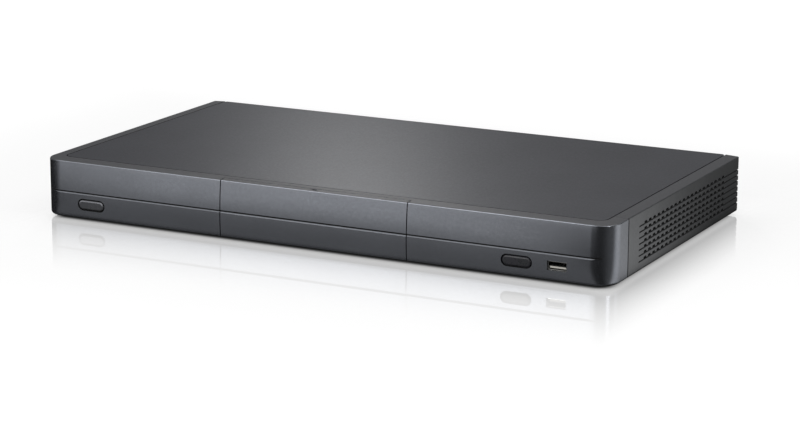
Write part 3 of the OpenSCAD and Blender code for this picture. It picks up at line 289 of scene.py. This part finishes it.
def metal_paint(name, rgb, rough, slot):
    """Satin metallic paint with flecks, grain and faint clouds; the rim on top is painted shade, a darker,
    duller colour.

    slot(s) gives 1 in a groove or seam, where the colour turns black as painted shade, and the under side is
    painted black as shade too.
    """
    s = Shader(name).set(Specular_IOR_Level=0.45)
    fleck = s.ramp(s.cells(FLECK_SIZE), 0.6, 0.95)
    grain = s.noise(GRAIN_SIZE)
    cloud = s.noise(16 * MM, 3.0, vector=s.stretched((0.4, 1.0, 1.0)))
    base = s.mix(s.ramp(cloud, 0.3, 0.7), shade(rgb, 0.96), shade(rgb, 1.04))
    base = s.mix(s.ramp(grain, 0.3, 0.7, 0.0, GRAIN_SHARE), base, shade(rgb, 0.7))
    base = s.mix(s.times(fleck, FLECK_SHARE), base, shade(rgb, 1.9))
    upward = s.axes(s.normal())[2]
    # painted shade: the more a face looks up, the more it turns to the darker, duller rim colour
    top = s.ramp(upward, 0.45, 0.95)
    # painted shade: black in grooves and seams and on faces that look down
    painted_black_shade = s.larger(slot(s), s.ramp(upward, -0.2, -0.6))
    s.colour(s.mix(painted_black_shade, s.mix(top, base, RIM_SHADE_RGB), BLACK))
    painted = s.times(s.minus(1.0, painted_black_shade), s.minus(1.0, top))
    s.link(s.times(painted, METALLIC), s.bsdf.inputs["Metallic"])
    dull = s.plus(s.times(painted_black_shade, 0.5), s.times(top, RIM_ROUGH - rough))
    s.roughness(s.plus(s.ramp(grain, 0.2, 0.8, rough - 0.01, rough + 0.01), dull))
    return s


def face_paint(name, rgb, rough):
    # painted shade: black in the slot across the face and in its gaps and corners
    s = metal_paint(name, rgb, rough, lambda s: s.larger(face_line(s), s.hollow_shade()))
    s.link(swept_corner(s), s.bsdf.inputs["Normal"])
    return s.mat


def side_paint(name, rgb, rough):
    """The vents reach deeper than the gaps of the face, and turn to painted shade sooner; the panel's front
    edge gets a painted shadow line.
    """
    return metal_paint(name, rgb, rough, lambda s: s.larger(
        panel_seam(s), s.hollow_shade(reach=3 * MM, shut=0.45, clear=0.95))).mat


def moulded(name, rgb, rough, grain_size=0.6 * MM):
    """Plain moulded plastic with a fine spark-eroded texture and faint clouding."""
    s = Shader(name).set(Specular_IOR_Level=0.4)
    cloud = s.noise(20 * MM, 3.0)
    grain = s.noise(grain_size, 2.0, 0.6)
    s.colour(s.mix(s.ramp(cloud, 0.3, 0.7), shade(rgb, 0.9), shade(rgb, 1.1)))
    s.roughness(s.ramp(grain, 0.25, 0.75, rough - 0.06, rough + 0.06))
    return s.bump(grain, 0.35, 0.03 * MM).mat


def port_tongue(name, rgb):
    """Tongue of the front socket: a pale nose, and the top and the body behind it painted black as the
    socket's shade.
    """
    s = Shader(name).set(Specular_IOR_Level=0.4)
    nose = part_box("front_usb_tongue")[0]
    _, y, z = s.axes(s.where)
    # painted shade: the tongue's top and everything behind its nose turn black, for the shade inside the
    # socket
    high = s.ramp(z, nose.z + 1.0 * MM, nose.z + 1.3 * MM)
    painted_socket_shade = s.larger(high, s.ramp(y, nose.y + 0.1 * MM, nose.y + 0.8 * MM))
    speck = s.ramp(s.noise(0.8 * MM, 3.0), 0.3, 0.7, 0.85, 1.0)
    s.colour(s.mix(painted_socket_shade, s.mix(speck, shade(rgb, 0.7), rgb), shade(BLACK, 2)))
    s.roughness(s.ramp(s.noise(1 * MM), 0.3, 0.7, 0.3, 0.45))
    return s.mat


def painted_sheet(name, rgb, rough):
    """Powder-painted steel: orange peel, painted shade in the grooves, with a cool sheen."""
    s = Shader(name).set(Specular_IOR_Level=0.45, Specular_Tint=(0.9, 0.93, 1.0, 1.0))
    peel = s.noise(PEEL_SIZE, 3.0, 0.6)
    cloud = s.noise(50 * MM, 3.0)
    base = s.mix(s.ramp(cloud, 0.35, 0.65), shade(rgb, 0.95), shade(rgb, 1.05))
    # painted shade: the colour darkens to a tenth in grooves and gaps
    s.colour(s.mix(s.hollow_shade(), base, shade(rgb, 0.1)))
    s.roughness(s.ramp(peel, 0.2, 0.8, rough - 0.04, rough + 0.04))
    return s.bump(peel, 0.3, PEEL_DEPTH).mat


def rolled_metal(name, rgb, rough, along=ALONG_X, spangle=0.0, marks=1.0):
    """Bare or plated sheet with rolling marks along one axis and, on zinc, faint spangles."""
    s = Shader(name).set(Metallic=1.0)
    streak = s.noise(MARK_SIZE, 4.0, 0.6, s.stretched(along))
    base = s.mix(s.ramp(streak, 0.3, 0.7), shade(rgb, 1.0 - 0.1 * marks), shade(rgb, 1.0 + 0.06 * marks))
    if spangle:
        base = s.mix(s.times(s.cells(6 * MM), spangle), base, shade(rgb, 0.75))
    s.colour(base)
    s.roughness(s.ramp(streak, 0.3, 0.7, rough - 0.06 * marks, rough + 0.08 * marks))
    return s.bump(streak, 0.08 * marks, MARK_DEPTH).mat


def circuit_board(name, rgb):
    """Solder mask over copper: tracks show as paler stripes in blocks, with dots for the vias."""
    s = Shader(name).set(Specular_IOR_Level=0.5)
    tracks = s.node("ShaderNodeTexBrick", offset=0.5)
    for key, value in (("Scale", 90.0), ("Mortar Size", 0.02), ("Brick Width", 0.9), ("Row Height", 0.11)):
        tracks.inputs[key].default_value = value
    s.link(s.where, tracks.inputs["Vector"])
    vias = s.ramp(s.cells(4.5 * MM, "Distance"), 0.16, 0.12)
    block = s.ramp(s.noise(20 * MM, 1.0), 0.45, 0.5)
    lines = s.times(tracks.outputs["Fac"], block)
    base = s.mix(lines, rgb, shade(rgb, 1.9))
    tinned = (0.45, 0.38, 0.18)
    s.colour(s.mix(s.times(vias, 0.8), base, tinned))
    s.roughness(s.ramp(lines, 0.0, 1.0, 0.32, 0.42))
    return s.bump(lines, 0.2, 0.03 * MM).mat


def cast_metal(name, rgb):
    """Die-cast alloy, matt and slightly cloudy."""
    s = Shader(name).set(Metallic=1.0)
    grain = s.noise(1.1 * MM, 4.0, 0.65)
    flow = s.noise(18 * MM, 3.0)
    s.colour(s.mix(s.ramp(flow, 0.3, 0.7), shade(rgb, 0.85), rgb))
    s.roughness(s.ramp(grain, 0.2, 0.8, 0.42, 0.58))
    return s.bump(grain, 0.4, 0.05 * MM).mat


def rubber(name, rgb):
    """Soft black rubber with a little dust."""
    s = Shader(name).set(Specular_IOR_Level=0.3)
    dust = s.noise(4 * MM, 5.0, 0.7)
    s.colour(s.mix(s.ramp(dust, 0.45, 0.75), rgb, shade(rgb, 2.2)))
    s.roughness(s.ramp(dust, 0.3, 0.7, 0.72, 0.9))
    return s.bump(s.noise(0.7 * MM), 0.4, 0.04 * MM).mat


def gloss(name, rgb, rough, tint):
    """Polished plastic, a touch of colour where it is thick."""
    s = Shader(name).set(Specular_IOR_Level=0.5)
    thick = tuple(c + t for c, t in zip(rgb, tint))
    s.colour(s.mix(s.ramp(s.noise(6 * MM), 0.4, 0.6), rgb, thick))
    s.roughness(s.ramp(s.noise(3 * MM, 4.0, 0.7), 0.3, 0.7, rough * 0.8, rough * 1.3))
    return s.bump(s.noise(1.5 * MM), 0.05, 0.02 * MM).mat


def jack_colours(name):
    """Insulators of the jacks, coloured by place: video, audio left and right, coaxial."""
    s = Shader(name).set(Specular_IOR_Level=0.5)
    x, _, z = s.axes(s.where)
    low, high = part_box("rca_barrels")
    upper = s.maths("GREATER_THAN", z, (low.z + high.z) / 2)
    second, third, coax = (s.maths("GREATER_THAN", x, low.x + BARREL_R + (column + 0.5) * JACK_PITCH)
                           for column in range(3))
    red, white, yellow = (0.5, 0.012, 0.01), (0.72, 0.71, 0.68), (0.78, 0.52, 0.02)
    green, blue, orange = (0.02, 0.3, 0.05), (0.01, 0.06, 0.42), (0.75, 0.2, 0.01)
    columns = s.mix(second, s.mix(upper, red, green), s.mix(upper, white, blue))
    columns = s.mix(third, columns, s.mix(upper, yellow, red))
    s.colour(s.mix(coax, columns, orange))
    s.roughness(s.ramp(s.noise(2 * MM, 3.0), 0.3, 0.7, 0.22, 0.32))
    return s.mat


MATERIALS = {
    "face_plastic": face_paint("charcoal_face", FACE_RGB, 0.24),
    "button_plastic": face_paint("charcoal_button", BUTTON_RGB, 0.28),
    "side_plastic": side_paint("charcoal_side", SIDE_RGB, 0.32),
    "window_plastic": gloss("infrared_window", (0.020, 0.021, 0.024), 0.3, tint=(0.001, 0.0, 0.002)),
    "cover_steel": painted_sheet("charcoal_cover", COVER_RGB, 0.39),
    "back_steel": painted_sheet("black_steel", (0.026, 0.027, 0.028), 0.5),
    "zinc_steel": rolled_metal("zinc_sheet", (0.56, 0.58, 0.6), 0.36, spangle=0.35),
    "bright_steel": rolled_metal("nickel_sheet", (0.74, 0.73, 0.70), 0.2, along=ALONG_Y),
    "screw_black": rolled_metal("black_screw", (0.05, 0.05, 0.055), 0.35, along=TURNED),
    "screw_zinc": rolled_metal("zinc_screw", (0.6, 0.61, 0.62), 0.28, along=TURNED),
    "black_plastic": moulded("black_moulding", (0.012, 0.012, 0.013), 0.42),
    "sled_plastic": moulded("sled_moulding", (0.03, 0.032, 0.036), 0.55, grain_size=0.9 * MM),
    "rail_plastic": moulded("rail_moulding", (0.7, 0.68, 0.62), 0.35),
    "foot_rubber": rubber("foot_rubber", (0.013, 0.013, 0.013)),
    "circuit_board": circuit_board("green_board", (0.014, 0.11, 0.035)),
    "supply_laminate": circuit_board("tan_board", (0.3, 0.21, 0.08)),
    "drive_laminate": circuit_board("blue_board", (0.012, 0.07, 0.16)),
    "chip_epoxy": moulded("chip_epoxy", (0.014, 0.014, 0.016), 0.5, grain_size=0.3 * MM),
    "cast_alloy": cast_metal("drive_casting", (0.55, 0.56, 0.58)),
    "drive_lid_steel": rolled_metal("drive_lid", (0.6, 0.61, 0.63), 0.34, along=ALONG_Y, marks=0.2),
    "fin_alloy": rolled_metal("fin_alloy", (0.5, 0.51, 0.53), 0.4, along=(18.0, 1.0, 1.0)),
    "post_brass": rolled_metal("post_brass", (0.72, 0.53, 0.22), 0.3, along=(9.0, 9.0, 1.0)),
    "contact_metal": rolled_metal("contact_plate", (0.76, 0.68, 0.44), 0.25),
    "winding": moulded("winding_tape", (0.55, 0.34, 0.06), 0.3, grain_size=2 * MM),
    "can_sleeve": gloss("can_sleeve", (0.015, 0.02, 0.045), 0.25, tint=(0.005, 0.0, 0.003)),
    "cable_jacket": moulded("cable_jacket", (0.35, 0.04, 0.03), 0.4, grain_size=1.5 * MM),
    "flat_cable": moulded("flat_cable", (0.68, 0.66, 0.6), 0.4, grain_size=1.2 * MM),
    "jack_metal": rolled_metal("jack_plate", (0.8, 0.78, 0.74), 0.16, along=(9.0, 1.0, 9.0)),
    "jack_insert": jack_colours("jack_inserts"),
}


def dress_nodes():
    own = {"front_usb_tongue": port_tongue("port_tongue", (0.7, 0.68, 0.62))}
    for part in frame["record"]["subparts"]:
        node = NODES[part["node"]]
        node.data.materials.clear()
        node.data.materials.append(own.get(part["node"]) or MATERIALS[part["material_slot"]])


# ---------------------------------------------------------------- softened edges

EDGES = {"front_bezel": 0.25 * MM, "tray_front": 0.25 * MM, "top_cover": 0.2 * MM, "power_button": 0.3 * MM,
         "ir_window": 0.25 * MM}
EDGE_ANGLE = 32.0           # degrees; sharper edges than this are rounded
FLAT_ANGLE = 0.4            # and facets flatter than this are one face


def soften(name, width):
    """Rounds a node's sharp edges by width metres with modifiers; the mesh itself stays."""
    node = NODES[name]
    weld = node.modifiers.new("weld", "WELD")
    weld.merge_threshold = 0.001 * MM
    plane = node.modifiers.new("flatten", "DECIMATE")
    plane.decimate_type = "DISSOLVE"
    plane.angle_limit = math.radians(FLAT_ANGLE)
    edge = node.modifiers.new("edges", "BEVEL")
    edge.width = width
    edge.segments = 2
    edge.limit_method = "ANGLE"
    edge.angle_limit = math.radians(EDGE_ANGLE)
    edge.harden_normals = True
    smooth = node.modifiers.new("normals", "WEIGHTED_NORMAL")
    smooth.weight = 80


# ---------------------------------------------------------------- camera and lights

VIEW_AZIMUTH = 26.80        # degrees, camera to the right of the front
VIEW_ELEVATION = 13.78
VIEW_ROLL = 0.246
VIEW_DISTANCE = 1.8267
LENS = 115.65               # mm on a 36 mm wide sensor
AIM = Vector((0.0004, 0.0089, -0.0031))
FILL = 0.35                 # the world's light on the object
CARD_DISTANCE = 3.0


def direction(azimuth, elevation):
    """From the object towards a lamp or camera: azimuth 0 is straight in front, 90 is to the right."""
    a, e = math.radians(azimuth), math.radians(elevation)
    return Vector((math.sin(a) * math.cos(e), -math.cos(a) * math.cos(e), math.sin(e)))


def looking(place, target, roll=0.0):
    turn = (target - place).to_track_quat("-Z", "Y").to_matrix().to_4x4()
    return Matrix.Translation(place) @ turn @ Matrix.Rotation(math.radians(roll), 4, "Z")


def add(name, data):
    made = bpy.data.objects.new(name, data)
    bpy.context.collection.objects.link(made)
    return made


def make_camera():
    data = bpy.data.cameras.new("camera")
    data.sensor_width = 36.0
    data.sensor_fit = "HORIZONTAL"
    data.lens = LENS
    data.clip_start, data.clip_end = 0.05, 50.0
    camera = add("camera", data)
    place = AIM + direction(VIEW_AZIMUTH, VIEW_ELEVATION) * VIEW_DISTANCE
    camera.matrix_world = looking(place, AIM, VIEW_ROLL)
    bpy.context.scene.camera = camera


def softbox(name, target, azimuth, elevation, distance, size, watts):
    """Rectangular lamp at a distance from target, facing it."""
    data = bpy.data.lights.new(name, "AREA")
    data.shape = "RECTANGLE"
    data.size, data.size_y = size
    data.energy = watts
    lamp = add(name, data)
    lamp.matrix_world = looking(Vector(target) + direction(azimuth, elevation) * distance, Vector(target))
    lamp.visible_camera = False


def make_lights():
    softbox("overhead", (0, 0, 0), azimuth=180, elevation=80, distance=1.6, size=(3.0, 2.4), watts=17)
    softbox("front_left", (0, 0, 0.02), azimuth=-10, elevation=22, distance=1.6, size=(1.4, 0.8), watts=8)
    softbox("right_front", (0.21, -0.09, 0.02), azimuth=72, elevation=24, distance=0.5, size=(0.12, 0.3),
            watts=0.45)
    softbox("far_back", (-0.01, -0.05, 0.042), azimuth=-152, elevation=25, distance=1.35,
            size=(0.15, 0.12), watts=0.86)


def card(name, azimuths, top, level):
    """A grey card round the table up to an elevation; only the object's own reflections show it."""
    steps = 8
    verts = []
    for i in range(steps + 1):
        foot = direction(azimuths[0] + (azimuths[1] - azimuths[0]) * i / steps, 0) * CARD_DISTANCE
        verts += [(foot.x, foot.y, z) for z in (-0.01, CARD_DISTANCE * math.tan(math.radians(top)))]
    mesh = bpy.data.meshes.new(name)
    mesh.from_pydata(verts, [], [(2 * i, 2 * i + 2, 2 * i + 3, 2 * i + 1) for i in range(steps)])
    mat = bpy.data.materials.new(name)
    mat.use_nodes = True
    mat.cycles.emission_sampling = "NONE"
    graph = Graph(mat.node_tree)
    mirror_ray = graph.node("ShaderNodeLightPath").outputs["Is Singular Ray"]
    look = graph.between(mirror_ray, graph.glow("ShaderNodeEmission", level),
                         graph.node("ShaderNodeBsdfTransparent").outputs[0])
    graph.link(look, graph.node("ShaderNodeOutputMaterial").inputs["Surface"])
    mesh.materials.append(mat)
    made = add(name, mesh)
    for kind in ("camera", "diffuse", "transmission", "volume_scatter", "shadow"):
        setattr(made, "visible_" + kind, False)


def make_cards():
    card("card_front", azimuths=(-14, 40), top=50, level=0.02)
    card("card_right", azimuths=(40, 112), top=40, level=0.18)
    card("card_back_right", azimuths=(128, 186), top=50, level=0.07)
    card("card_back", azimuths=(186, 204), top=50, level=0.17)
    card("card_back_left", azimuths=(204, 240), top=50, level=0.05)
    card("card_left", azimuths=(240, 292), top=40, level=0.12)


def make_world():
    """White where the camera or a reflection looks past the object, and a low grey fill elsewhere."""
    world = bpy.data.worlds.new("studio")
    bpy.context.scene.world = world
    world.use_nodes = True
    world.cycles.sampling_method = "NONE"
    graph = Graph(world.node_tree)
    fill = graph.glow("ShaderNodeBackground", FILL)
    white = graph.glow("ShaderNodeBackground", 1.0)
    look = graph.between(graph.sees_background()[1], fill, white)
    graph.link(look, graph.node("ShaderNodeOutputWorld").inputs["Surface"])


# ---------------------------------------------------------------- floor

FLOOR_HALF = 6.0
FLOOR_LEVEL = 0.5           # the floor's own grey under the lamps
# painted shade: the floor's own glow is lower near the object than far off
FLOOR_GLOW = (0.555, 0.9)   # and what it adds for the camera, near the object and far off
GLOW_REACH = (0.1, 0.6)     # metres from the outline between which that rises
GLEAM = 0.5                 # how much of the object the floor mirrors, a little off its foot
GLEAM_AT_FOOT = 0.32
GLEAM_FULL = 0.14           # share of the way out at which the mirror is full
GLEAM_FADE = 1.5            # power of its fading
GLEAM_FRONT, GLEAM_SIDE = 0.121, 0.043          # where that ends, in front or behind and beside it
CONTACT_IN, CONTACT_OUT = 8 * MM, 1.2 * MM      # from and to how far inside the outline the shade thins out
CONTACT_LEVEL = 0.05
FRONT_SHADE = 0.215         # how dark the floor just in front is in reflections
FRONT_SHADE_REACH = (0.03, 0.30)
SIDE_FADE = 0.21            # how far back the floor beside the casing stays lit in reflections
FOOT_SHADE, FOOT_SHADE_REACH = 0.12, 12 * MM    # and how dark and wide it is all round the foot


def floor_place(graph):
    return graph.axes(graph.node("ShaderNodeTexCoord").outputs["Object"])[:2]


def past_outline(graph, x, y, inset=0.0):
    """Signed distances past the object's outline along X and along Y, the outline drawn in by inset."""

    def beyond(value, low, high):
        offset = graph.maths("ABSOLUTE", graph.minus(value, (low + high) / 2))
        return graph.minus(offset, (high - low) / 2 - inset)

    return beyond(x, BODY_LEFT, BODY_RIGHT), beyond(y, BODY_FRONT, BODY_BACK)


def outside(graph, x, y, inset=0.0):
    """The same distances, and 0 inside the outline."""
    return tuple(graph.larger(past, 0.0) for past in past_outline(graph, x, y, inset))


def floor_gleam(graph):
    """The floor's mirror is strongest a little off the object's foot, and fades out evenly."""
    past_x, past_y = outside(graph, *floor_place(graph))
    gone = graph.larger(graph.maths("DIVIDE", past_x, GLEAM_SIDE), graph.maths("DIVIDE", past_y, GLEAM_FRONT))
    left = graph.maths("POWER", graph.larger(graph.minus(1.0, gone), 0.0), GLEAM_FADE)
    return graph.times(left, graph.ramp(gone, 0.0, GLEAM_FULL, GLEAM_AT_FOOT, GLEAM))


def contact_shade(graph):
    """Little under the casing, where hardly any light reaches the floor, and 1 from its outline outwards."""
    x, y = floor_place(graph)
    past_x, past_y = past_outline(graph, x, y, CORNER_R)
    inner = graph.smaller(graph.larger(past_x, past_y), 0.0)
    distance = graph.plus(graph.length(*outside(graph, x, y, CORNER_R)), inner)
    return graph.ramp(distance, CORNER_R - CONTACT_IN, CORNER_R - CONTACT_OUT, CONTACT_LEVEL, 1.0)


def floor_in_reflections(graph):
    """What the floor shows in reflections: white, with painted shade close to the object and in the wedges
    where the cards stand over it.

    right and left are azimuths round the casing's two front corners.
    """
    x, y = floor_place(graph)

    def azimuth_from(corner):
        return graph.maths("ARCTAN2", graph.minus(x, corner), graph.minus(BODY_FRONT, y))

    def turn(angle, low, high, at_low=0.0, at_high=1.0):
        return graph.ramp(angle, math.radians(low), math.radians(high), at_low, at_high)

    past_x, past_y = outside(graph, x, y)
    away = graph.length(past_x, past_y)
    right, left = azimuth_from(BODY_RIGHT), azimuth_from(BODY_LEFT)
    front = graph.times(turn(left, -62, 0), turn(right, -44, -18, 1.0, 0.0),
                        graph.ramp(away, *FRONT_SHADE_REACH, FRONT_SHADE, 1.0))
    slant = graph.minus(y, graph.times(past_x, 2.0))
    side = graph.times(turn(right, 98, 128), graph.ramp(slant, BODY_FRONT, BODY_FRONT + SIDE_FADE, 0.85, 0.0))
    side = graph.plus(side, turn(right, 30, 100, 0.02, 0.15))
    side = graph.times(side, turn(right, 138, 160, 1.0, 0.6))
    return graph.times(graph.larger(front, side), graph.ramp(away, 0.0, FOOT_SHADE_REACH, FOOT_SHADE, 1.0))


def make_floor():
    """A pale floor that keeps the object's shadow and a mirror image that fades out."""
    half = FLOOR_HALF
    mesh = bpy.data.meshes.new("floor")
    mesh.from_pydata([(-half, -half, 0), (half, -half, 0), (half, half, 0), (-half, half, 0)], [],
                     [(0, 1, 2, 3)])
    mat = bpy.data.materials.new("floor")
    mat.use_nodes = True
    mat.cycles.emission_sampling = "NONE"
    graph = Graph(mat.node_tree)
    lit = graph.node("ShaderNodeAddShader")
    graph.link(graph.diffuse(FLOOR_LEVEL), lit.inputs[0])
    away = graph.larger(*outside(graph, *floor_place(graph)))
    own_glow = graph.ramp(away, *GLOW_REACH, *FLOOR_GLOW)
    graph.link(graph.glow("ShaderNodeEmission", own_glow), lit.inputs[1])
    shaded = graph.between(contact_shade(graph), graph.diffuse(0.02), lit.outputs[0])
    mirror = graph.node("ShaderNodeBsdfGlossy")
    mirror.inputs["Color"].default_value = (1, 1, 1, 1)
    mirror.inputs["Roughness"].default_value = 0.0
    seen_directly = graph.between(floor_gleam(graph), shaded, mirror.outputs[0])
    reflected = graph.glow("ShaderNodeEmission", floor_in_reflections(graph))
    camera_ray, background_ray = graph.sees_background()
    background = graph.between(camera_ray, reflected, seen_directly)
    look = graph.between(background_ray, graph.diffuse(FLOOR_LEVEL), background)
    graph.link(look, graph.node("ShaderNodeOutputMaterial").inputs["Surface"])
    mesh.materials.append(mat)
    add("floor", mesh)


make_camera()
make_world()
make_floor()
make_lights()
make_cards()
dress_nodes()
for shell, width in EDGES.items():
    soften(shell, width)
bpy.context.scene.view_settings.view_transform = "Standard"
